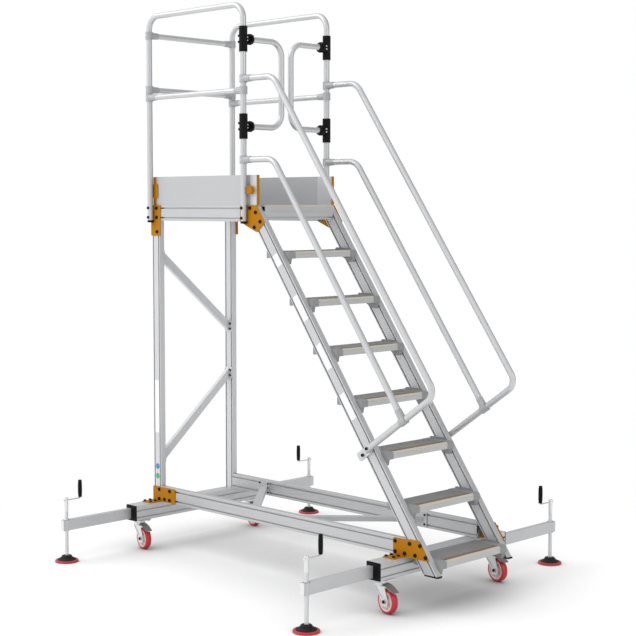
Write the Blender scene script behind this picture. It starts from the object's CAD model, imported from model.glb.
"""Looks of a mobile platform ladder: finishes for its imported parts, and the bolts, tread covers,
jacks, casters and labels that the parts leave out. Lengths are in metres, in the parts' own frame,
apart from the points inside mm() and the places of bolts, which are in millimetres.
"""

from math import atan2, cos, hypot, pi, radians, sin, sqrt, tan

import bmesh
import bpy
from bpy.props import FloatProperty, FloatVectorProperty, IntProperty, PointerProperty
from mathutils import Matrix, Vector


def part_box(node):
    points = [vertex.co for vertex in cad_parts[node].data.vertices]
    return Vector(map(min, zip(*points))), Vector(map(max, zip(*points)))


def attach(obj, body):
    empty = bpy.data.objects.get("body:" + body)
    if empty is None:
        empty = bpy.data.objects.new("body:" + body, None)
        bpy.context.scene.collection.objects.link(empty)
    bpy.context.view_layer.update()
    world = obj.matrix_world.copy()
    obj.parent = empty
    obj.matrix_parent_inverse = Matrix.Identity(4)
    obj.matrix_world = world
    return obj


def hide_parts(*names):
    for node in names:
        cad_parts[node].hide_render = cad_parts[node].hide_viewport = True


bl_info = {
    "name": "Platform ladder looks",
    "version": (1, 0, 0),
    "blender": (4, 5, 0),
    "location": "3D View > Sidebar > Ladder",
    "description": "Finishes and details of a mobile platform ladder",
    "category": "Object",
}

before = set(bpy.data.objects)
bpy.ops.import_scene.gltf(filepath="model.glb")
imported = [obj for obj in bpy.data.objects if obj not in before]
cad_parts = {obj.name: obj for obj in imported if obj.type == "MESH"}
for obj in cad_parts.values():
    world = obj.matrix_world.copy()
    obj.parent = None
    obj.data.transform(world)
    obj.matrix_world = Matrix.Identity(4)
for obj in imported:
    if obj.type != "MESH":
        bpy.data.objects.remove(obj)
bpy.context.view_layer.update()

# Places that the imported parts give
legs_low, legs_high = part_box("legs")
beams_low, beams_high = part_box("cross_beams")
deck_low, deck_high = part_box("deck")
steps_low, steps_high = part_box("steps")
posts_low, posts_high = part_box("guard_hoop_left")
CHANNEL_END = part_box("toe_board_channels")[1].x
GUSSET_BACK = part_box("top_gussets")[0].x
REAR_X = (legs_low.x + legs_high.x) / 2
FRONT_X = beams_high.x - (REAR_X - beams_low.x)
SIDE_Y = legs_high.y
PLATE_Y = SIDE_Y + 0.005        # outer face of the plates and foot flanges
INNER_Y = deck_high.y
BEAM_TOP = beams_high.z
STILE_DEPTH = 0.075             # across the slope
STEP_COUNT = 7
STEP_RUN = (steps_high.x - deck_high.x) / STEP_COUNT
STEP_RISE = deck_high.z - steps_high.z
PITCH = atan2(STEP_RISE, STEP_RUN)
TREAD_DEPTH = deck_high.x + STEP_RUN - steps_low.x
POST_RADIUS = (posts_high.y - posts_low.y) / 2
POST_Y = -(posts_high.y + posts_low.y) / 2
POST_X = (posts_low.x + POST_RADIUS, posts_high.x - POST_RADIUS)
SIDES = (("left", -1), ("right", 1))
CORNERS = (("rear_left", -1), ("rear_right", 1), ("front_left", -1), ("front_right", 1))
CASTER_SWING = radians(-10)     # of the wheels, from the way that the base runs
MM = 0.001


# ------------ settings

def colour(label, value):
    return FloatVectorProperty(
        name=label, description=f"Colour of the {label.lower()}", subtype="COLOR",
        size=3, min=0.0, max=1.0, default=value,
    )


def length(label, text, value):
    return FloatProperty(
        name=label, description=text, unit="LENGTH", subtype="DISTANCE", min=0.0, default=value,
    )


def strength(label, text, value):
    return FloatProperty(name=label, description=text, min=0.0, default=value)


class LadderColours(bpy.types.PropertyGroup):
    aluminium: colour("Anodised sections", (0.53, 0.535, 0.545))
    tube: colour("Satin tubes", (0.54, 0.545, 0.555))
    casting: colour("Cast clamps", (0.40, 0.405, 0.41))
    tread: colour("Tread tops", (0.285, 0.283, 0.280))
    tread_face: colour("Tread faces", (0.49, 0.492, 0.497))
    cap: colour("Tread end caps", (0.26, 0.262, 0.266))
    grit: colour("Grit strips", (0.255, 0.195, 0.135))
    nosing: colour("Nosing strips", (0.53, 0.50, 0.43))
    orange: colour("Coated plates", (0.405, 0.160, 0.001))
    red: colour("Red tyres and pads", (0.47, 0.018, 0.028))
    rim: colour("Wheel rims", (0.74, 0.60, 0.58))
    black: colour("Black plastic", (0.004, 0.004, 0.0042))
    pedal: colour("Brake pedals", (0.16, 0.16, 0.145))
    zinc: colour("Zinc plated steel", (0.72, 0.73, 0.745))


class LadderSizes(bpy.types.PropertyGroup):
    bolt_radius: length("Bolt radius", "Radius of a plate bolt's head", 0.0085)
    bolt_height: length("Bolt height", "Height of a plate bolt's head", 0.0075)
    rib_pitch: length("Rib spacing", "Distance between a tread's ribs", 0.006)
    rib_height: length("Rib height", "Height of a tread's ribs", 0.0012)
    grit_width: length("Grit strip", "Width of the grit strip behind a nosing", 0.034)
    thread_pitch: length("Thread pitch", "Rise of a jack's thread in one turn", 0.005)
    thread_depth: length("Thread depth", "Depth of a jack's thread", 0.0018)
    rim_ribs: IntProperty(
        name="Rim ribs", description="Stiffening ribs of a wheel's rim", min=3, max=16, default=8,
    )


class LadderStage(bpy.types.PropertyGroup):
    key_power: strength("Key lamp", "Power of the large lamp", 250.0)
    fill_power: strength("Fill lamp", "Power of the lamp on the other side", 110.0)
    ambient: strength("Ambient", "Strength of the world's light", 0.80)
    lens: FloatProperty(
        name="Lens", description="Focal length on a 36 mm sensor", unit="CAMERA", default=81.79,
    )


# One settings group for each of the scene's properties
SETTINGS = {"ladder_colours": LadderColours, "ladder_sizes": LadderSizes, "ladder_stage": LadderStage}


# ------------ finishes

def feed(tree, target, inputs):
    """Link or set a node's inputs."""
    for socket, value in dict(inputs).items():
        if isinstance(value, bpy.types.NodeSocket):
            tree.links.new(value, target.inputs[socket])
        else:
            target.inputs[socket].default_value = value


def node(tree, kind, inputs=(), **settings):
    """A shader node with its settings, values and links."""
    made = tree.nodes.new("ShaderNode" + kind)
    for name, value in settings.items():
        setattr(made, name, value)
    feed(tree, made, inputs)
    return made


def effect(name, takes, gives):
    """An empty node group with named sockets."""
    tree = bpy.data.node_groups.new(name, "ShaderNodeTree")
    for label, kind, value in takes:
        socket = tree.interface.new_socket(label, in_out="INPUT", socket_type="NodeSocket" + kind)
        if value is not None:
            socket.default_value = value
    for label, kind in gives:
        tree.interface.new_socket(label, in_out="OUTPUT", socket_type="NodeSocket" + kind)
    return tree, tree.nodes.new("NodeGroupInput").outputs, tree.nodes.new("NodeGroupOutput")


def mixed(tree, factor, first, second):
    """The colour between two others."""
    return node(tree, "Mix", {"Factor": factor, 6: first, 7: second}, data_type="RGBA").outputs[2]


def scaled(tree, shade, factor):
    """A colour made lighter or darker."""
    return node(tree, "VectorMath", {0: shade, "Scale": factor}, operation="SCALE").outputs[0]


def noise(tree, place, scale, detail, **more):
    """A cloudy pattern from 0 to 1."""
    inputs = {"Vector": place, "Scale": scale, "Detail": detail, **more}
    return node(tree, "TexNoise", inputs).outputs["Fac"]


def swing(tree, pattern, amount, middle):
    """A noise as a value that swings round a middle."""
    off = node(tree, "Math", {0: pattern, 1: 0.5}, operation="SUBTRACT").outputs[0]
    return node(tree, "Math", {0: off, 1: amount, 2: middle}, operation="MULTIPLY_ADD").outputs[0]


def build_effects():
    """The effects that the finishes share."""
    place, shade = ("Vector", "Vector", None), ("Colour", "Color", None)
    tree, takes, gives = effect(
        "Mottle", (place, shade, ("Scale", "Float", 8.0), ("Amount", "Float", 0.1)), (("Colour", "Color"),),
    )
    factor = swing(tree, noise(tree, takes["Vector"], takes["Scale"], 4.0), takes["Amount"], 1.0)
    feed(tree, gives, {"Colour": scaled(tree, takes["Colour"], factor)})

    tree, takes, gives = effect(
        "Draw lines", (place, shade, ("Depth", "Float", 0.1)), (("Colour", "Color"), ("Height", "Float")),
    )
    lines = noise(tree, takes["Vector"], 1.0, 3.0, Roughness=0.6)
    factor = swing(tree, lines, takes["Depth"], 1.0)
    feed(tree, gives, {"Colour": scaled(tree, takes["Colour"], factor), "Height": lines})

    tree, takes, gives = effect("Grain", (place, ("Scale", "Float", 900.0)), (("Height", "Float"),))
    feed(tree, gives, {"Height": noise(tree, takes["Vector"], takes["Scale"], 2.0)})

    tree, takes, gives = effect(
        "Smudges", (place, ("Roughness", "Float", 0.5), ("Amount", "Float", 0.15)),
        (("Roughness", "Float"),),
    )
    smear = noise(tree, takes["Vector"], 14.0, 5.0, Distortion=0.6)
    feed(tree, gives, {"Roughness": swing(tree, smear, takes["Amount"], takes["Roughness"])})

    tree, takes, gives = effect("Scuffs", (place, ("Cover", "Float", 0.2)), (("Mask", "Float"),))
    broad = noise(tree, takes["Vector"], 30.0, 6.0, Roughness=0.75)
    start = node(tree, "Math", {0: 0.72, 1: takes["Cover"]}, operation="SUBTRACT")
    mask = node(tree, "MapRange", {"Value": broad, "From Min": start.outputs[0], "From Max": 0.85})
    feed(tree, gives, {"Mask": mask.outputs["Result"]})

    tree, takes, gives = effect(
        "Speckle", (place, ("Scale", "Float", 700.0)), (("Mask", "Float"), ("Height", "Float")),
    )
    cells = node(tree, "TexVoronoi", {"Vector": takes["Vector"], "Scale": takes["Scale"]})
    near = cells.outputs["Distance"]
    mask = node(
        tree, "MapRange", {"Value": near, "From Min": 0.25, "From Max": 0.55, "To Min": 1.0, "To Max": 0.0},
    )
    feed(tree, gives, {"Mask": mask.outputs["Result"], "Height": near})


def use(tree, name, inputs):
    """The outputs of a shared effect, linked into a finish."""
    return node(tree, "Group", inputs, node_tree=bpy.data.node_groups[name]).outputs


# Turns of a finish's draw lines from X to the way that a section runs
ALONG = {"x": (0, 0, 0), "y": (0, 0, pi / 2), "z": (0, -pi / 2, 0), "slope": (0, PITCH, 0)}


def finish(name, base, metallic, roughness, along=None, grain=0.0, bump=0.1, mottle=0.1,
           scuffs=0.0, scuff_shade=0.5, speckle=None, smudge=0.15, specular=0.5, coat=0.0):
    """A surface finish whose pattern follows the part: draw lines along it, or an even grain."""
    made = bpy.data.materials.new(name)
    made.use_nodes = True
    tree = made.node_tree
    place = node(tree, "TexCoord").outputs["Object"]
    shade = use(tree, "Mottle", {"Vector": place, "Colour": (*base, 1.0), "Amount": mottle})["Colour"]
    if along:
        drawn = node(
            tree, "Mapping", {"Vector": place, "Rotation": ALONG[along], "Scale": (0.5, 0.004, 0.004)},
            vector_type="TEXTURE",
        )
        lines = use(tree, "Draw lines", {"Vector": drawn.outputs["Vector"], "Colour": shade})
        shade, height = lines["Colour"], lines["Height"]
    else:
        height = use(tree, "Grain", {"Vector": place, "Scale": grain})["Height"]
    if speckle:
        grit = use(tree, "Speckle", {"Vector": place})
        shade, height = mixed(tree, grit["Mask"], shade, (*speckle, 1.0)), grit["Height"]
    if scuffs:
        worn = use(tree, "Scuffs", {"Vector": place, "Cover": scuffs})["Mask"]
        shade = mixed(tree, worn, shade, (scuff_shade,) * 3 + (1.0,))
    smear = use(tree, "Smudges", {"Vector": place, "Roughness": roughness, "Amount": smudge})["Roughness"]
    relief = node(tree, "Bump", {"Height": height, "Strength": bump, "Distance": 0.0004})
    feed(tree, tree.nodes["Principled BSDF"], {
        "Base Color": shade, "Roughness": smear, "Normal": relief.outputs["Normal"],
        "Metallic": metallic, "Specular IOR Level": specular, "Coat Weight": coat,
    })


class LADDER_OT_mix_finishes(bpy.types.Operator):
    """Build the surface finishes from the colours"""
    bl_idname = "ladder.mix_finishes"
    bl_label = "Mix finishes"

    def execute(self, context):
        tones = context.scene.ladder_colours
        build_effects()
        for along, share in (("x", 0.94), ("y", 1.03), ("z", 1.10), ("slope", 1.0)):
            shade = [share * level for level in tones.aluminium]
            finish(f"section_{along}", shade, 0.5, 0.42, along=along, bump=0.03, mottle=0.07)
        dull = [0.86 * level for level in tones.aluminium]
        finish("sheet", dull, 0.35, 0.5, along="x", bump=0.02, mottle=0.05)
        finish("arm_mill", tones.aluminium, 0.5, 0.46, along="y", bump=0.03, mottle=0.1)
        finish("tread_face", tones.tread_face, 0.4, 0.5, along="y", bump=0.1, mottle=0.08)
        # columns: name, colour, metallic, roughness, grain, bump, mottle, other settings
        for name, shade, metallic, roughness, grain, bump, mottle, other in (
            ("tube_satin", tones.tube, 0.55, 0.36, 500, 0.02, 0.06, {}),
            ("casting", tones.casting, 0.35, 0.55, 520, 0.5, 0.16, {}),
            ("tread_top", tones.tread, 0.2, 0.62, 1100, 0.3, 0.22, {"scuffs": 0.14, "scuff_shade": 0.3}),
            ("cap_moulded", tones.cap, 0.0, 0.55, 700, 0.35, 0.1, {}),
            ("grit_strip", tones.grit, 0.0, 0.9, 900, 0.4, 0.25,
             {"speckle": (0.15, 0.11, 0.075), "smudge": 0.05}),
            ("grit_lip", (0.13, 0.085, 0.05), 0.0, 0.7, 700, 0.2, 0.3, {}),
            ("nosing_strip", tones.nosing, 0.0, 0.62, 1300, 0.25, 0.12, {}),
            ("orange_coat", tones.orange, 0.0, 0.5, 650, 0.15, 0.12, {"specular": 0.12}),
            ("black_plastic", tones.black, 0.0, 0.5, 500, 0.2, 0.3, {"specular": 0.12}),
            ("black_oxide", (0.008, 0.0075, 0.0075), 0.2, 0.42, 900, 0.1, 0.4, {"specular": 0.3}),
            ("black_rubber", (0.010, 0.010, 0.010), 0.0, 0.62, 500, 0.25, 0.3,
             {"scuffs": 0.1, "scuff_shade": 0.035, "specular": 0.25}),
            ("red_tyre", tones.red, 0.0, 0.36, 420, 0.12, 0.12, {"scuffs": 0.05, "scuff_shade": 0.22}),
            ("red_pad", tones.red, 0.0, 0.46, 700, 0.25, 0.14, {}),
            ("rim_nylon", tones.rim, 0.0, 0.48, 600, 0.2, 0.08, {}),
            ("pedal", tones.pedal, 0.1, 0.5, 800, 0.3, 0.2, {}),
            ("zinc", tones.zinc, 0.75, 0.34, 260, 0.12, 0.12, {"smudge": 0.25}),
            ("label_white", (0.80, 0.81, 0.82), 0.0, 0.38, 1800, 0.08, 0.06, {"coat": 0.1}),
            ("label_blue", (0.035, 0.20, 0.42), 0.0, 0.38, 1800, 0.08, 0.15, {"coat": 0.1}),
            ("label_green", (0.06, 0.36, 0.15), 0.0, 0.38, 1800, 0.08, 0.15, {"coat": 0.1}),
        ):
            finish(name, shade, metallic, roughness, None, grain, bump, mottle, **other)
        return {"FINISHED"}


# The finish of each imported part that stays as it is
PART_FINISHES = {
    "legs": "section_z", "long_beams": "section_x", "side_beams": "section_x", "cross_beams": "section_y",
    "stiles": "section_slope", "deck_bearers": "section_y", "base_braces": "arm_mill",
    "rear_braces": "section_z", "deck": "tread_face", "steps": "tread_face",
    "step_end_caps": "cap_moulded", "toe_boards": "sheet", "toe_board_channels": "section_z",
    "top_gussets": "orange_coat", "base_gussets": "orange_coat", "beam_end_caps": "black_plastic",
    "caster_plates": "zinc", "rail_clamps": "casting", "gate_hinges_left": "black_plastic",
    "gate_hinges_right": "black_plastic", "stile_feet": "black_rubber",
}


class LADDER_OT_finish_frame(bpy.types.Operator):
    """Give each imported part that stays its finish"""
    bl_idname = "ladder.finish_frame"
    bl_label = "Finish the frame"

    def execute(self, context):
        for name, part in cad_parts.items():
            other = "arm_mill" if name.startswith("outrigger_arm") else "tube_satin"
            chosen = PART_FINISHES.get(name, other)
            for place in part.material_slots:
                place.material = bpy.data.materials[chosen]
        return {"FINISHED"}


# ------------ shapes

UPRIGHT = Matrix.Rotation(pi / 2, 4, "X")      # turns a shape's own Y up
shift = Matrix.Translation


def placed(origin, axis=(0, 0, 1)):
    """A move that puts a shape's own Z along an axis and its base on a point."""
    return shift(origin) @ Vector(axis).to_track_quat("Z", "Y").to_matrix().to_4x4()


def soften(bm, edges, width, segments=2):
    """Round off edges."""
    bmesh.ops.bevel(
        bm, geom=list(edges), offset=width, segments=segments, profile=0.5, affect="EDGES", material=-1,
        clamp_overlap=True,
    )


def block(size, edge=0.0, segments=2):
    """A block round the origin with softened edges."""
    bm = bmesh.new()
    bmesh.ops.create_cube(bm, size=1.0, matrix=Matrix.Diagonal((*size, 1.0)))
    if edge:
        soften(bm, bm.edges, edge, segments)
    return bm


def climb(edge):
    """How far an edge runs along Z."""
    return abs(edge.verts[0].co.z - edge.verts[1].co.z)


def plate(outline, thickness, edge=0.0, corner=0.0, corner_segments=5):
    """A plate on z = 0 from its outline, with rounded corners and softened rims."""
    bm = bmesh.new()
    face = bm.faces.new([bm.verts.new((x, y, 0)) for x, y in outline])
    grown = bmesh.ops.extrude_face_region(bm, geom=[face])["geom"]
    raised = [g for g in grown if isinstance(g, bmesh.types.BMVert)]
    bmesh.ops.translate(bm, vec=(0, 0, thickness), verts=raised)
    if corner:
        standing = [e for e in bm.edges if climb(e) > thickness / 2]
        soften(bm, standing, corner, corner_segments)
    if edge:
        rims = [e for e in bm.edges if climb(e) < 1e-6 and e.is_manifold and e.calc_face_angle(0) > 0.8]
        soften(bm, rims, edge, 1)
    face_out(bm)
    return bm


def mm(*points):
    """Points given in millimetres."""
    return [tuple(MM * value for value in point) for point in points]


def oblong(half_x, half_y):
    """The outline of a rectangle round the origin."""
    return (-half_x, -half_y), (half_x, -half_y), (half_x, half_y), (-half_x, half_y)


def sweep(bm, geom, angle=0.0, steps=1, dvec=(0, 0, 0), cent=(0, 0, 0), axis=(0, 0, 1), **more):
    """Spin or draw out geometry: returns what the last step made."""
    return bmesh.ops.spin(
        bm, geom=geom, cent=cent, axis=axis, dvec=dvec, angle=angle, steps=steps, **more,
    )["geom_last"]


def face_out(bm):
    """Turn the faces outwards."""
    bmesh.ops.recalc_face_normals(bm, faces=bm.faces)


def profile_line(bm, points, y=0.0):
    """A line through points in a plane of X and Z, to be swept."""
    verts = [bm.verts.new((x, y, z)) for x, z in points]
    return verts + [bm.edges.new(pair) for pair in zip(verts, verts[1:])]


def turned(profile, segments=32):
    """A shape turned round Z from a few points: radius, height."""
    bm = bmesh.new()
    sweep(bm, profile_line(bm, profile), 2 * pi, segments, use_merge=True)
    bmesh.ops.remove_doubles(bm, verts=bm.verts, dist=1e-5)
    face_out(bm)
    return bm


def disc(radius, height, segments):
    """A round plate on z = 0."""
    return turned(((0.0, 0.0), (radius, 0.0), (radius, height), (0.0, height)), segments)


def mirrored(half):
    """A closed profile, equal on both sides of z = 0, from half of it: radius, distance from z = 0."""
    return [(r, -z) for r, z in half] + [(r, z) for r, z in reversed(half)] + [(half[0][0], -half[0][1])]


def rod(points, radius, bend=0.0, segments=14, steps=6):
    """A round bar along straight runs and bends, its circle spun on from run to run."""
    bm = bmesh.new()
    points = [Vector(p) for p in points]
    start = placed(points[0], points[1] - points[0])
    bmesh.ops.create_circle(bm, radius=radius, segments=segments, matrix=start)
    loop = bm.verts[:] + bm.edges[:]
    used = 0.0
    for i in range(len(points) - 1):
        run = points[i + 1] - points[i]
        heading = run.normalized()
        corner = i < len(points) - 2
        after = (points[i + 2] - points[i + 1]).normalized() if corner else heading
        turn = heading.angle(after) if corner else 0.0
        setback = bend * tan(turn / 2)
        ahead = heading * (run.length - used - setback)
        loop = sweep(bm, loop, dvec=ahead)
        if corner:
            axis = heading.cross(after).normalized()
            centre = points[i + 1] - heading * setback + axis.cross(heading) * bend
            loop = sweep(bm, loop, turn, steps, cent=centre, axis=axis)
            used = setback
    bmesh.ops.holes_fill(bm, edges=bm.edges[:], sides=0)
    face_out(bm)
    return bm


def top_face(bm):
    return max(bm.faces, key=lambda f: f.calc_center_median().z)


def hex_head(radius, height, sides=6, rim=0.12):
    """A hexagon head or nut, standing on z = 0: its top edge is softened by a share of the radius."""
    bm = bmesh.new()
    bmesh.ops.create_cone(
        bm, cap_ends=True, segments=sides, radius1=radius, radius2=radius, depth=height,
        matrix=shift((0, 0, height / 2)),
    )
    soften(bm, top_face(bm).edges, radius * rim, 1)
    return bm


def socket_bolt(radius, height):
    """A cap screw's head with a hexagon socket, standing on z = 0."""
    bm = hex_head(radius, height, 18, 0.14)
    top = top_face(bm)
    bmesh.ops.inset_region(bm, faces=[top], thickness=radius * 0.36)
    across = radius * 0.46
    for vert in top.verts:
        angle = atan2(vert.co.y, vert.co.x)
        reach = across / cos((angle % (pi / 3)) - pi / 6)
        vert.co.x, vert.co.y = reach * cos(angle), reach * sin(angle)
    inner = bmesh.ops.extrude_discrete_faces(bm, faces=[top])["faces"][0]
    bmesh.ops.translate(bm, verts=inner.verts, vec=(0, 0, -height * 0.6))
    return bm


def join(target, part, move=Matrix(), finish_index=0):
    """Put a copy of a shape into a larger one."""
    copy = bpy.data.meshes.new("shape")
    part.to_mesh(copy)
    copy.transform(move)
    if move.determinant() < 0:
        copy.flip_normals()
    first = len(target.faces)
    target.from_mesh(copy)
    target.faces.ensure_lookup_table()
    for face in target.faces[first:]:
        face.material_index = finish_index
    bpy.data.meshes.remove(copy)


def add(name, data):
    """A new object in the scene."""
    made = bpy.data.objects.new(name, data)
    bpy.context.scene.collection.objects.link(made)
    return made


def piece(name, bm, finishes, body="frame", sharp=38, stands_for=()):
    """Make the finished object: it sits at the origin and rides on a body."""
    mesh = bpy.data.meshes.new(name)
    bm.to_mesh(mesh)
    bm.free()
    for chosen in finishes:
        mesh.materials.append(bpy.data.materials[chosen])
    mesh.shade_smooth()
    mesh.set_sharp_from_angle(angle=radians(sharp))
    made = add(name, mesh)
    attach(made, body)
    if stands_for:
        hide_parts(*stands_for)


# ------------ bolts

# All places of bolts are in millimetres. Plate bolts on both sides: x from the rear cross beam's
# centre, height
PLATE_BOLTS = (
    (14, 1987), (14, 1933), (17, 1849),
    (819, 1988), (865, 1965), (901, 1915), (855, 1884),
    (19, 328), (19, 272), (68, 273.5), (114, 274), (115, 328),
    (1889, 328), (1889, 275), (1953, 274), (1985, 328), (2022, 274), (2054, 328), (2090, 274),
)
POST_BOLT_HEIGHTS = (1988, 1933)
# Bolts on the legs' rear faces: height
REAR_BOLT_HEIGHTS = (1849, 330, 275)
# Foot flange bolts: x from a cross beam's centre, distance from the middle
FLANGE_BOLTS = ((-28, 337), (-28, 376), (19, 337), (19, 371))
# Nuts that show in the grooves beside the plates: x from the rear cross beam's centre, height
GROOVE_NUTS = ((54, 1986.5), (54, 1931.5), (170, 329.5), (170, 274.5))
# Bolts of the handrails' lugs: x from the rear cross beam's centre, height
LUG_BOLTS = ((1670, 734), (1722, 777))
# Braces: node, the axis that sets their two ends apart, a bracket's bolts from its middle along X and Z
BRACKETS = (("rear_braces", 2, 21, 16), ("base_braces", 0, 36, 26))
BRACKET_THICKNESS = 0.005


class LADDER_OT_fit_bolts(bpy.types.Operator):
    """Fit the bolts of the plates, posts, lugs and brace brackets"""
    bl_idname = "ladder.fit_bolts"
    bl_label = "Fit bolts"

    def execute(self, context):
        sizes = context.scene.ladder_sizes
        head = socket_bolt(sizes.bolt_radius, sizes.bolt_height)
        washer = disc(sizes.bolt_radius * 1.25, 0.0012, 20)
        nut = block((0.014, 0.004, 0.0075), 0.0008, 1)
        post_face = POST_Y + POST_RADIUS - 0.0015
        lug_faces = (SIDE_Y + 0.010, POST_Y + POST_RADIUS - 0.001)
        for side, sign in SIDES:
            out = (0, sign, 0)
            bolts, rings = bmesh.new(), bmesh.new()
            seats = [(REAR_X + x * MM, sign * PLATE_Y, z * MM) for x, z in PLATE_BOLTS]
            for seat in seats:
                join(rings, washer, placed(seat, out))
            seats += [(x, sign * post_face, z * MM) for x in POST_X for z in POST_BOLT_HEIGHTS]
            seats += [(REAR_X + x * MM, sign * y, z * MM) for (x, z), y in zip(LUG_BOLTS, lug_faces)]
            for seat in seats:
                join(bolts, head, placed(seat, out))
            for z in REAR_BOLT_HEIGHTS:
                join(bolts, head, placed((GUSSET_BACK, sign * (SIDE_Y - 0.010), z * MM), (-1, 0, 0)))
            for beam_x in (REAR_X, FRONT_X):
                for x, y in FLANGE_BOLTS:
                    join(bolts, head, placed((beam_x + x * MM, sign * y * MM, BEAM_TOP + 0.005)))
            for x, z in GROOVE_NUTS:
                join(bolts, nut, shift((REAR_X + x * MM, sign * (SIDE_Y - 0.001), z * MM)))
            piece(f"plate_bolts_{side}", bolts, ["black_oxide"])
            piece(f"plate_washers_{side}", rings, ["black_oxide"])

        small = socket_bolt(0.006, 0.005)
        fixings = bmesh.new()
        for bracket in BRACKETS:
            for seat, out in self.bracket_bolts(*bracket):
                join(fixings, small, placed(seat, out))
        piece("brace_bolts", fixings, ["black_oxide"])
        return {"FINISHED"}

    def bracket_bolts(self, name, axis, reach, rise):
        """Four bolts on each end bracket of the braces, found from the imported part's inner faces."""
        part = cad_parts[name]
        face_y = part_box(name)[1].y - BRACKET_THICKNESS
        found = []
        for sign in (-1, 1):
            spots = [v.co for v in part.data.vertices if abs(v.co.y * sign - face_y) < 1e-4]
            middle = (min(p[axis] for p in spots) + max(p[axis] for p in spots)) / 2
            for half in ([p for p in spots if p[axis] < middle], [p for p in spots if p[axis] >= middle]):
                x, z = ((min(p[i] for p in half) + max(p[i] for p in half)) / 2 for i in (0, 2))
                for a in (-1, 1):
                    for b in (-1, 1):
                        seat = (x + a * reach * MM, sign * face_y, z + b * rise * MM)
                        found.append((seat, (0, -sign, 0)))
        return found


# ------------ treads

NOSE_RADIUS = 0.012
NOSE_WRAP = radians(76)         # how far round a nose its strip goes
COVER_GAP = 0.001               # between a tread's covers and its end caps
UPSTAND_THICKNESS = 0.0035


class LADDER_OT_lay_treads(bpy.types.Operator):
    """Lay the ribs, grit strips and nosing strips on the deck and treads"""
    bl_idname = "ladder.lay_treads"
    bl_label = "Lay treads"

    def execute(self, context):
        sizes = context.scene.ladder_sizes
        ribs, grit, nosings, upstands = bmesh.new(), bmesh.new(), bmesh.new(), bmesh.new()
        outline = mm((-168, 0), (-36, 0), (-50, 11), (-158, 11))
        fin = plate(outline, UPSTAND_THICKNESS, 0.001, 0.003, 3)
        rows = [
            (deck_high.x + k * STEP_RUN, deck_high.z - k * STEP_RISE, TREAD_DEPTH, steps_high.y)
            for k in range(1, STEP_COUNT + 1)
        ]
        deck = (deck_high.x, deck_high.z, deck_high.x - deck_low.x, deck_high.y)
        for nose, top, depth, half in (*rows, deck):
            reach = half - COVER_GAP
            curve = nose - NOSE_RADIUS
            front, back = curve - 0.002 - sizes.grit_width, nose - depth + 0.004
            rib = block(
                (sizes.rib_pitch * 0.55, 2 * reach, 2 * sizes.rib_height), sizes.rib_height * 0.5, 1,
            )
            count = int((front - back - 0.002) / sizes.rib_pitch)
            bmesh.ops.translate(rib, verts=rib.verts, vec=(front - 0.004, 0, top))
            sweep(
                rib, rib.verts[:] + rib.edges[:] + rib.faces[:], 0.0, count, (-sizes.rib_pitch, 0, 0),
                use_duplicate=True,
            )
            join(ribs, rib)
            strip = block((sizes.grit_width, 2 * reach, 0.0024), 0.0006, 1)
            join(grit, strip, shift((curve - 0.001 - sizes.grit_width / 2, 0, top)))
            lip = block((0.011, 2 * reach, 0.0034), 0.0012, 2)
            join(grit, lip, shift((curve - 0.007, 0, top)), 1)
            cover = bmesh.new()
            ends = [cover.verts.new((curve, y, top + 0.0003)) for y in (-reach, reach)]
            line = cover.edges.new(ends)
            round_axis = (curve, 0, top - NOSE_RADIUS)
            sweep(cover, ends + [line], NOSE_WRAP, 8, cent=round_axis, axis=(0, 1, 0))
            face_out(cover)
            if cover.faces[:][0].normal.z < 0:
                bmesh.ops.reverse_faces(cover, faces=cover.faces)
            bmesh.ops.solidify(cover, geom=cover.faces[:], thickness=-0.0009)
            join(nosings, cover)
        for nose, top, depth, half in rows:
            for sign in (-1, 1):
                y = sign * (INNER_Y - 0.0022) + UPSTAND_THICKNESS / 2
                join(upstands, fin, shift((nose, y, top + 0.001)) @ UPRIGHT)
        piece("tread_ribs", ribs, ["tread_top"])
        piece("grit_strips", grit, ["grit_strip", "grit_lip"])
        piece("nosing_strips", nosings, ["nosing_strip"])
        piece("tread_upstands", upstands, ["cap_moulded"])
        return {"FINISHED"}


# ------------ stiles and toe boards

class LADDER_OT_cap_stiles(bpy.types.Operator):
    """Close the stiles' open ends below the toe boards"""
    bl_idname = "ladder.cap_stiles"
    bl_label = "Cap stiles"

    def execute(self, context):
        covers = bmesh.new()
        end = CHANNEL_END - 0.002
        front, back = end - 0.002, end + 0.002 - STILE_DEPTH / sin(PITCH)
        inner, outer = INNER_Y + 0.001, SIDE_Y - 0.001
        outline = ((back, inner), (front, inner), (front, outer), (back, outer))
        cover = plate(outline, 0.0018, 0.0005, 0.002)
        for _, sign in SIDES:
            join(covers, cover, shift((0, 0, deck_high.z)) @ Matrix.Diagonal((1, sign, 1, 1)))
        piece("stile_covers", covers, ["sheet"])
        return {"FINISHED"}


KNOB_RADIUS = 0.024
KNOB_LOBES = 8


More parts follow.
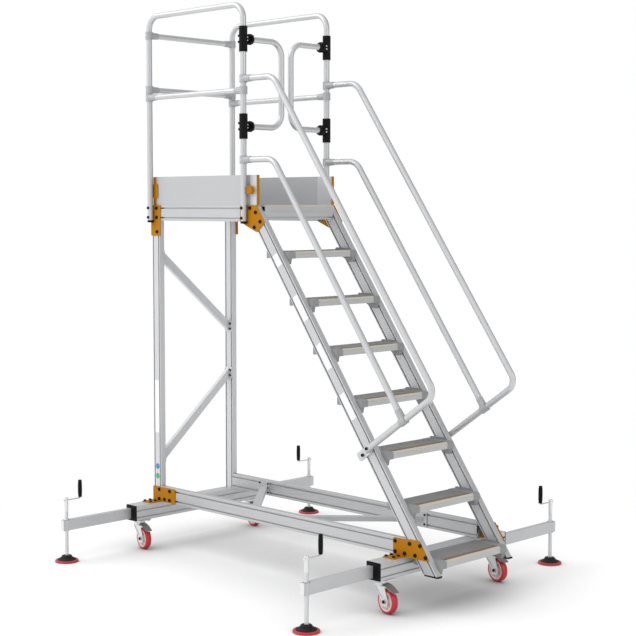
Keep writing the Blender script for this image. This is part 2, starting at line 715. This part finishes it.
class LADDER_OT_fit_toe_boards(bpy.types.Operator):
    """Fit the coloured clips, end plates and knobs of the toe boards"""
    bl_idname = "ladder.fit_toe_boards"
    bl_label = "Fit toe boards"

    def execute(self, context):
        low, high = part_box("toe_board_clips")
        middle, tall = (low.z + high.z) / 2, high.z - low.z
        fittings = bmesh.new()
        knob = turned(mm(
            (0, 0), (18.5, 0), (18.5, 5), (22.8, 7), (24, 11), (24, 19.5), (22.2, 23), (16.5, 23.6),
            (14.5, 22.2), (0, 21.8),
        ), 48)
        knob_x = POST_X[1] + POST_RADIUS + KNOB_RADIUS + 0.002
        for vert in knob.verts:
            reach = hypot(vert.co.x, vert.co.y)
            if reach > 0.0205:
                shrink = 1.0 - 0.07 * (0.5 + 0.5 * cos(KNOB_LOBES * atan2(vert.co.y, vert.co.x)))
                vert.co.x *= shrink
                vert.co.y *= shrink
        cover_x = low.x + 0.016
        cover = block((0.032, 0.0204, tall), 0.002, 2)
        boss = plate(oblong(0.024, 0.043), 0.0045, 0.0014, 0.013)
        end_plate = block((0.003, 0.0196, tall), 0.0009, 1)
        for _, sign in SIDES:
            out = Matrix.Rotation(-sign * pi / 2, 4, "X")
            join(fittings, cover, shift((cover_x, sign * (SIDE_Y - 0.0102), middle)))
            join(fittings, boss, shift((cover_x + 0.008, sign * SIDE_Y, middle)) @ out)
            join(fittings, end_plate, shift((CHANNEL_END + 0.0015, sign * (SIDE_Y - 0.010), middle)))
            join(fittings, knob, placed((knob_x, sign * SIDE_Y, middle), (0, sign, 0)))
        piece(
            "toe_board_fittings", fittings, ["orange_coat"], stands_for=["toe_board_clips"],
        )
        return {"FINISHED"}


# ------------ guards

HINGE_CENTRE = 0.068            # of a hinge, from the sleeves' ends
FLANGE_NEAR, FLANGE_FAR = 0.041, 0.053      # faces of a hinge's flange, from the post's axis
FLANGE_BOLT_RING = 0.024
# Heights of the clamps' screws on the rear and the front posts
CLAMP_SCREWS = ((2.982, 2.671, 2.625), (2.687, 2.250))


class LADDER_OT_fit_guards(bpy.types.Operator):
    """Fit the post rims, hinge screws and clamp screws"""
    bl_idname = "ladder.fit_guards"
    bl_label = "Fit guards"

    def execute(self, context):
        rims = bmesh.new()
        rim = turned(mm(
            (14.5, 10), (14.5, -2.5), (17.8, -2.5), (18.4, 0), (17.8, 2.2), (17.6, 10), (14.5, 10),
        ), 28)
        for _, sign in SIDES:
            for x in POST_X:
                join(rims, rim, placed((x, sign * POST_Y, posts_low.z)))
        piece("post_rims", rims, ["black_plastic"])

        screw = socket_bolt(0.0062, 0.007)
        nut = hex_head(0.0062, 0.006)
        pin = socket_bolt(0.0042, 0.004)
        slant = 0.0222 / sqrt(2)
        post_x = POST_X[1]
        for side, sign in SIDES:
            low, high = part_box(f"gate_hinges_{side}")
            fixings, pins = bmesh.new(), bmesh.new()
            for z in (low.z + HINGE_CENTRE, high.z - HINGE_CENTRE):
                for step in (-1, 1):
                    seat = (post_x - slant, sign * (POST_Y + slant), z + step * 0.0165)
                    join(fixings, screw, placed(seat, (-1, sign, 0)))
                    seat = (post_x + slant, sign * (POST_Y - slant), z + step * 0.0083)
                    join(pins, pin, placed(seat, (1, -sign, 0)))
                for angle in (45, 135, 225, 315):
                    x = post_x + FLANGE_BOLT_RING * cos(radians(angle))
                    height = z + FLANGE_BOLT_RING * sin(radians(angle))
                    join(fixings, screw, placed((x, sign * (POST_Y - FLANGE_NEAR), height), (0, sign, 0)))
                    join(fixings, nut, placed((x, sign * (POST_Y - FLANGE_FAR), height), (0, -sign, 0)))
            piece(f"hinge_screws_{side}", fixings, ["black_oxide"], body=f"gate_{side}")
            piece(f"hinge_pins_{side}", pins, ["zinc"], body=f"gate_{side}")

        grubs = bmesh.new()
        grub = socket_bolt(0.0045, 0.0022)
        for _, sign in SIDES:
            for x, heights in zip(POST_X, CLAMP_SCREWS):
                for z in heights:
                    join(grubs, grub, placed((x, sign * (POST_Y + 0.0215), z), (0, sign, 0)))
        piece("clamp_screws", grubs, ["zinc"])
        return {"FINISHED"}


# ------------ jacks

def screw_thread(radius, depth, pitch, bottom, top, segments=18):
    """A round thread: one turn's profile wound up round Z."""
    bm = bmesh.new()
    root = radius - depth
    profile = ((root, 0.0), (root, 0.28), (radius, 0.42), (radius, 0.82), (root, 1.0))
    line = profile_line(bm, [(r, bottom + share * pitch) for r, share in profile])
    turns = int((top - bottom) / pitch)
    sweep(bm, line, 2 * pi * turns, turns * segments, (0, 0, pitch / segments))
    bmesh.ops.remove_doubles(bm, verts=bm.verts, dist=1e-5)
    bmesh.ops.holes_fill(bm, edges=bm.edges[:], sides=0)
    face_out(bm)
    return bm


CRANK_REACH = 0.095
CRANK_HEIGHT = 0.349            # over the floor, like the other heights of a jack


class LADDER_OT_build_jacks(bpy.types.Operator):
    """Build the threaded jacks with their cranks, grips and pads, and the arms' end plates"""
    bl_idname = "ladder.build_jacks"
    bl_label = "Build jacks"

    def execute(self, context):
        sizes = context.scene.ladder_sizes
        thread = screw_thread(0.011, sizes.thread_depth, sizes.thread_pitch, 0.032, 0.290)
        sleeve = turned(mm(
            (0, 286), (11, 286), (11.6, 288), (11.6, 361.5), (10.4, 363.5), (0, 363.5),
        ), 32)
        grip = turned(mm(
            (0, 355), (9.5, 355), (10.5, 356.5), (10.8, 363), (10, 364), (10, 366), (11.1, 367),
            (11.8, 385), (12, 404), (11.8, 423), (11.1, 441), (10, 442), (10, 444), (10.7, 445),
            (10.4, 450.5), (9.2, 452.5), (0, 453),
        ), 28)
        foot = turned(mm(
            (0, 0), (62, 0), (64.5, 1.2), (65, 3), (65, 8.5), (63.5, 10.8), (60, 12), (0, 12),
        ), 56)
        dome = turned(mm(
            (0, 11.5), (52, 11.5), (52, 13.6), (50.5, 15.8), (45.5, 18), (44, 17.2), (42.5, 18.8),
            (36, 22.5), (34.5, 25), (30, 26.2), (28.5, 33), (26.2, 35.5), (16, 35.8), (15, 34.5),
            (0, 34.5),
        ), 48)
        collar = turned(mm(
            (11.3, 241.2), (16.5, 241.2), (16.5, 242.2), (15, 243.8), (11.3, 243.8), (11.3, 241.2),
        ), 28)
        gasket = turned(mm(
            (11.3, 238.1), (17.6, 238.1), (17.6, 239.2), (11.3, 239.2), (11.3, 238.1),
        ), 28)
        crank_end = turned(mm((0, 0), (6.6, 0), (6.6, 4), (0, 4.8)), 16)
        for name, sign in CORNERS:
            low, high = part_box(f"jack_pad_{name}")
            x, y = (low.x + high.x) / 2, (low.y + high.y) / 2
            stand = shift((x, y, 0))
            body = f"jack_{name}"
            reach = -sign * CRANK_REACH
            crank = rod(
                [(0, 0, CRANK_HEIGHT), (0, reach, CRANK_HEIGHT), (0, reach, CRANK_HEIGHT + 0.009)],
                0.004, 0.006, 12, 5,
            )
            spindle = bmesh.new()
            for part in (thread, sleeve, crank):
                join(spindle, part, stand)
            join(spindle, crank_end, stand @ placed((0, sign * 0.0125, CRANK_HEIGHT), (0, sign, 0)))
            piece(f"jack_spindle_{name}", spindle, ["zinc"], body, 30, [f"jack_screw_{name}"])
            held = bmesh.new()
            join(held, grip, stand @ shift((0, reach, 0)))
            piece(f"crank_grip_{name}", held, ["black_plastic"], body, 30, [f"jack_grip_{name}"])
            pad = bmesh.new()
            join(pad, foot, stand, 0)
            join(pad, dome, stand, 1)
            piece(
                f"foot_pad_{name}", pad, ["red_pad", "black_rubber"], body, 30, [f"jack_pad_{name}"],
            )

            arm_low, arm_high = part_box(f"outrigger_arm_{name}")
            arm_x = (arm_low.x + arm_high.x) / 2
            end_y = arm_high.y if sign > 0 else arm_low.y
            trim = bmesh.new()
            seat = shift((arm_x, end_y + sign * 0.0014, arm_low.z + 0.032))
            join(trim, block((0.0294, 0.003, 0.0594), 0.0009, 1), seat, 0)
            join(trim, collar, stand, 0)
            join(trim, gasket, stand, 1)
            piece(f"arm_end_{name}", trim, ["zinc", "black_rubber"], f"outrigger_{name}")
        return {"FINISHED"}


# ------------ casters

WHEEL_RADIUS = 0.0625
TRAIL = 0.050                   # of the axle behind the swivel
CHEEK_FACE = 0.0264             # outer face of a fork's cheek, from the middle


class LADDER_OT_build_casters(bpy.types.Operator):
    """Build the caster forks, brakes and wheels"""
    bl_idname = "ladder.build_casters"
    bl_label = "Build casters"

    def execute(self, context):
        sizes = context.scene.ladder_sizes
        fork = bmesh.new()
        crown = plate(oblong(0.044, 0.0265), 0.006, 0.001, 0.010)
        join(fork, crown, shift((0.010, 0, 0.133)))
        race = turned(mm(
            (0, 138), (31, 138), (32.5, 142.5), (31.5, 149), (27.5, 150.5), (27.5, 153), (29.8, 154.5),
            (29.8, 159.8), (0, 159.8),
        ), 40)
        join(fork, race)
        cheek_outline = mm(
            (-32, 138.5), (50, 138.5), (74.5, 72), (74.5, 38.5), (27.5, 38.5), (26.2, 66),
        )
        for sign in (-1, 1):
            cheek = plate(cheek_outline, 0.0038, 0.0009)
            low_corners = [e for e in cheek.edges if climb(e) > 0.001 and e.verts[0].co.y < 0.045]
            soften(cheek, low_corners, 0.021, 6)
            join(fork, cheek, shift((0, sign * 0.0226 + 0.0019, 0)) @ UPRIGHT)
            y = sign * CHEEK_FACE
            join(fork, rod([(-0.024, y, 0.130), (0.036, y, 0.078)], 0.0016, 0.0, 8))
        fixings = bmesh.new()
        for sign, height in ((-1, 0.0055), (1, 0.0065)):
            seat = placed((TRAIL, sign * CHEEK_FACE, WHEEL_RADIUS), (0, sign, 0))
            join(fork, disc(0.0125, 0.0016, 24), seat)
            join(fixings, hex_head(0.0092, height), seat @ shift((0, 0, 0.0014)))
        join(fork, rod([(TRAIL, -0.0225, WHEEL_RADIUS), (TRAIL, 0.0225, WHEEL_RADIUS)], 0.006))

        lever = self.lever(
            mm((30, 147.8), (56, 144.5), (82, 135), (104, 121.5), (117, 116.5)), 0.0195, 0.003,
        )
        skirt_outline = mm(
            (32, 147.8), (56, 144.5), (82, 135), (100, 123.5), (86, 125.5), (56, 135), (32, 140),
        )
        for sign in (-1, 1):
            skirt = plate(skirt_outline, 0.0024, 0.0006)
            join(lever, skirt, shift((0, sign * 0.0183 + 0.0012, 0)) @ UPRIGHT)
        release = self.lever(mm((55, 130), (88, 120.5), (117.5, 115)), 0.0125, 0.0022)

        wheel_tyre = turned(mirrored(mm(
            (49, 16.2), (56, 17.5), (59.8, 16), (61.7, 12), (62.5, 5),
        )), 64)
        wheel_rim = turned(mirrored(mm(
            (6.6, 20.5), (18, 20.5), (19.5, 19), (21, 8), (38.5, 6), (42, 15), (43.5, 16.8),
            (49.2, 16.8),
        )), 48)
        spoke = block((0.024, 0.0030, 0.0270), 0.0007, 1)
        for i in range(sizes.rim_ribs):
            turn = Matrix.Rotation(2 * pi * i / sizes.rim_ribs, 4, "Z")
            join(wheel_rim, spoke, turn @ shift((0.030, 0, 0)))
        bearing = turned(mirrored(mm((6.6, 21.2), (12.5, 21.2))), 28)
        foot_bolt = hex_head(0.0075, 0.005)
        under = bmesh.new()
        for name, _ in CORNERS:
            low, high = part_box(f"wheel_{name}")
            hub = (low + high) / 2
            trail = Vector((cos(CASTER_SWING), sin(CASTER_SWING), 0)) * TRAIL
            swivel = Vector((hub.x, hub.y, 0)) - trail
            stand = shift(swivel) @ Matrix.Rotation(CASTER_SWING, 4, "Z")
            body = f"caster_{name}"
            whole = bmesh.new()
            for part, index in ((fork, 0), (fixings, 1), (lever, 2), (release, 0)):
                join(whole, part, stand, index)
            piece(f"caster_body_{name}", whole, ["zinc", "black_oxide", "pedal"], body, 35,
                  [f"caster_fork_{name}"])
            rolling = bmesh.new()
            turn = placed(hub, (-sin(CASTER_SWING), cos(CASTER_SWING), 0))
            for index, part in enumerate((wheel_tyre, wheel_rim, bearing)):
                join(rolling, part, turn, index)
            piece(f"caster_wheel_{name}", rolling, ["red_tyre", "rim_nylon", "zinc"], f"wheel_{name}",
                  35, [f"wheel_{name}"])
            plate_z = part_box("caster_plates")[0].z
            for a in (-1, 1):
                for b in (-1, 1):
                    seat = (swivel.x + a * 0.042, swivel.y + b * 0.032, plate_z)
                    join(under, foot_bolt, placed(seat, (0, 0, -1)))
        piece("caster_plate_bolts", under, ["zinc"])
        return {"FINISHED"}

    def lever(self, line, half, thickness):
        """A pressed lever: a line in the fork's middle plane swept to a width and thickened."""
        bm = bmesh.new()
        sweep(bm, profile_line(bm, line, -half), dvec=(0, 2 * half, 0))
        face_out(bm)
        bmesh.ops.solidify(bm, geom=bm.faces[:], thickness=thickness)
        ends = [e for e in bm.edges if min(v.co.x for v in e.verts) > line[-1][0] - 0.006
                and abs(e.verts[0].co.y - e.verts[1].co.y) < 1e-6
                and (e.verts[0].co - e.verts[1].co).length < thickness * 1.5]
        soften(bm, ends, half * 0.4, 4)
        face_out(bm)
        return bm


# ------------ labels

LABEL_THICKNESS = 0.0004
# Blank stickers on the left stile: distance down the slope, length
STILE_STICKERS = ((0.300, 0.070), (0.565, 0.150), (0.865, 0.150), (1.165, 0.150))


class LADDER_OT_place_labels(bpy.types.Operator):
    """Place the blank labels on the left leg and stile"""
    bl_idname = "ladder.place_labels"
    bl_label = "Place labels"

    def execute(self, context):
        side_y = -SIDE_Y
        white = bmesh.new()
        leg_label = plate(oblong(0.018, 0.155), LABEL_THICKNESS, 0.0, 0.003)
        join(white, leg_label, shift((REAR_X, side_y, 0.820)) @ UPRIGHT)
        top = Vector((deck_high.x - 0.038, side_y, deck_high.z))
        down = Vector((cos(PITCH), 0, -sin(PITCH)))
        across = Vector((-sin(PITCH), 0, -cos(PITCH)))
        for distance, long in STILE_STICKERS:
            centre = top + down * (distance + long / 2) + across * STILE_DEPTH / 2
            tag = plate(oblong(long / 2, 0.019), LABEL_THICKNESS, 0.0, 0.003)
            join(white, tag, shift(centre) @ Matrix.Rotation(PITCH, 4, "Y") @ UPRIGHT)
        piece("labels", white, ["label_white"])
        for name, z, chosen in (("upper", 0.463, "label_blue"), ("lower", 0.405, "label_green")):
            dots = bmesh.new()
            join(dots, disc(0.017, LABEL_THICKNESS, 32), shift((REAR_X, side_y, z)) @ UPRIGHT)
            piece(f"round_label_{name}", dots, [chosen])
        return {"FINISHED"}


# ------------ stage

CAMERA_PLACE = (5.60216, -5.6372, 1.9952)
CAMERA_TURN = (44.83, 4.40, -0.05)          # degrees: round Z, down, round its own axis


class LADDER_OT_set_stage(bpy.types.Operator):
    """Set the floor, the light and the camera"""
    bl_idname = "ladder.set_stage"
    bl_label = "Set the stage"

    def execute(self, context):
        scene = context.scene
        setup = scene.ladder_stage
        scene.view_settings.view_transform = "Standard"
        self.floor()
        self.world(scene, setup.ambient)
        target = Vector((0.0, 0.0, 1.3))
        # columns: name, place, size, power
        for name, place, size, power in (
            ("key_lamp", (-4.5, -5.0, 7.5), 6.0, setup.key_power),
            ("fill_lamp", (7.5, 1.5, 4.0), 5.0, setup.fill_power),
        ):
            light = bpy.data.lights.new(name, "AREA")
            light.size = size
            light.energy = power
            lamp = add(name, light)
            lamp.location = place
            lamp.rotation_euler = (target - Vector(place)).to_track_quat("-Z", "Y").to_euler()
        self.camera(scene, setup.lens)
        return {"FINISHED"}

    def floor(self):
        """A pale round floor that fades into the background."""
        bm = bmesh.new()
        bmesh.ops.create_circle(bm, cap_ends=True, segments=96, radius=40.0)
        mesh = bpy.data.meshes.new("floor")
        bm.to_mesh(mesh)
        bm.free()
        floor = add("floor", mesh)
        made = bpy.data.materials.new("floor_paint")
        made.use_nodes = True
        tree = made.node_tree
        place = node(tree, "TexCoord").outputs["Object"]
        grain = noise(tree, place, 3.0, 6.0)
        tint = mixed(tree, grain, (0.815, 0.815, 0.815, 1), (0.825, 0.825, 0.825, 1))
        away = node(tree, "VectorMath", {0: place, 1: (0.35, -0.2, 0.0)}, operation="DISTANCE")
        fade = node(
            tree, "MapRange", {"Value": away.outputs["Value"], "From Min": 1.3, "From Max": 2.9},
            interpolation_type="SMOOTHERSTEP",
        )
        contact = node(tree, "AmbientOcclusion", {"Distance": 1.6}, samples=24)
        depth = node(tree, "Math", {0: contact.outputs["AO"], 1: 0.95}, operation="POWER")
        tone = scaled(tree, tint, depth.outputs[0])
        shader = tree.nodes["Principled BSDF"]
        feed(tree, shader, {
            "Base Color": tone, "Roughness": 0.7, "Specular IOR Level": 0.2, "Emission Color": tone,
            "Emission Strength": 0.30,
        })
        seen = node(tree, "LightPath").outputs["Is Camera Ray"]
        share = node(tree, "Math", {0: fade.outputs["Result"], 1: seen}, operation="MULTIPLY")
        bright = node(tree, "Emission", {"Color": (1, 1, 1, 1), "Strength": 1.0})
        both = node(tree, "MixShader", {0: share.outputs[0], 1: shader.outputs[0], 2: bright.outputs[0]})
        feed(tree, tree.nodes["Material Output"], {"Surface": both.outputs[0]})
        mesh.materials.append(made)

    def world(self, scene, ambient):
        """Soft ambient light, and white where the camera or a reflection sees past the floor."""
        world = bpy.data.worlds.new("studio")
        scene.world = world
        world.use_nodes = True
        tree = world.node_tree
        shown = node(tree, "LightPath").outputs["Is Camera Ray"]
        facing = node(tree, "TexCoord").outputs["Generated"]
        side = node(tree, "VectorMath", {0: facing, 1: (-0.44, -0.74, 0.51)}, operation="DOT_PRODUCT")
        glow = node(
            tree, "MapRange",
            {"Value": side.outputs["Value"], "From Min": -0.7, "From Max": 0.9, "To Min": 0.42 * ambient,
             "To Max": 1.5 * ambient},
            interpolation_type="SMOOTHSTEP",
        )
        level = node(tree, "Mix", {"Factor": shown, 2: glow.outputs["Result"], 3: 1.0}, data_type="FLOAT")
        feed(tree, tree.nodes["Background"], {"Color": (1, 1, 1, 1), "Strength": level.outputs[0]})

    def camera(self, scene, lens):
        """The photograph's viewpoint."""
        turn, dip, roll = (radians(angle) for angle in CAMERA_TURN)
        ahead = Vector((-sin(turn) * cos(dip), cos(turn) * cos(dip), -sin(dip)))
        right = Vector((cos(turn), sin(turn), 0))
        up = right.cross(ahead)
        data = bpy.data.cameras.new("camera")
        data.sensor_width = 36.0
        data.lens = lens
        data.clip_end = 200.0
        camera = add("camera", data)
        facing = Matrix((right, up, -ahead)).transposed().to_4x4()
        camera.matrix_world = shift(CAMERA_PLACE) @ facing @ Matrix.Rotation(-roll, 4, "Z")
        scene.camera = camera


class LADDER_PT_panel(bpy.types.Panel):
    """Lists the steps that dress the ladder"""
    bl_idname = "LADDER_PT_panel"
    bl_label = "Platform ladder"
    bl_space_type = "VIEW_3D"
    bl_region_type = "UI"
    bl_category = "Ladder"

    def draw(self, context):
        for name, group in SETTINGS.items():
            for field in group.__annotations__:
                self.layout.prop(getattr(context.scene, name), field)
        for step in STEPS:
            self.layout.operator(step.bl_idname)


STEPS = (
    LADDER_OT_mix_finishes, LADDER_OT_finish_frame, LADDER_OT_fit_bolts, LADDER_OT_lay_treads,
    LADDER_OT_cap_stiles, LADDER_OT_fit_toe_boards, LADDER_OT_fit_guards, LADDER_OT_build_jacks,
    LADDER_OT_build_casters, LADDER_OT_place_labels, LADDER_OT_set_stage,
)
CLASSES = (*SETTINGS.values(), *STEPS, LADDER_PT_panel)


def register():
    for cls in CLASSES:
        bpy.utils.register_class(cls)
    for name, group in SETTINGS.items():
        setattr(bpy.types.Scene, name, PointerProperty(type=group))


def unregister():
    for name in SETTINGS:
        delattr(bpy.types.Scene, name)
    for cls in reversed(CLASSES):
        bpy.utils.unregister_class(cls)


def main():
    """Dress the ladder step by step."""
    register()
    bpy.ops.ladder.mix_finishes()
    bpy.ops.ladder.finish_frame()
    bpy.ops.ladder.fit_bolts()
    bpy.ops.ladder.lay_treads()
    bpy.ops.ladder.cap_stiles()
    bpy.ops.ladder.fit_toe_boards()
    bpy.ops.ladder.fit_guards()
    bpy.ops.ladder.build_jacks()
    bpy.ops.ladder.build_casters()
    bpy.ops.ladder.place_labels()
    bpy.ops.ladder.set_stage()


if __name__ == "__main__":
    main()
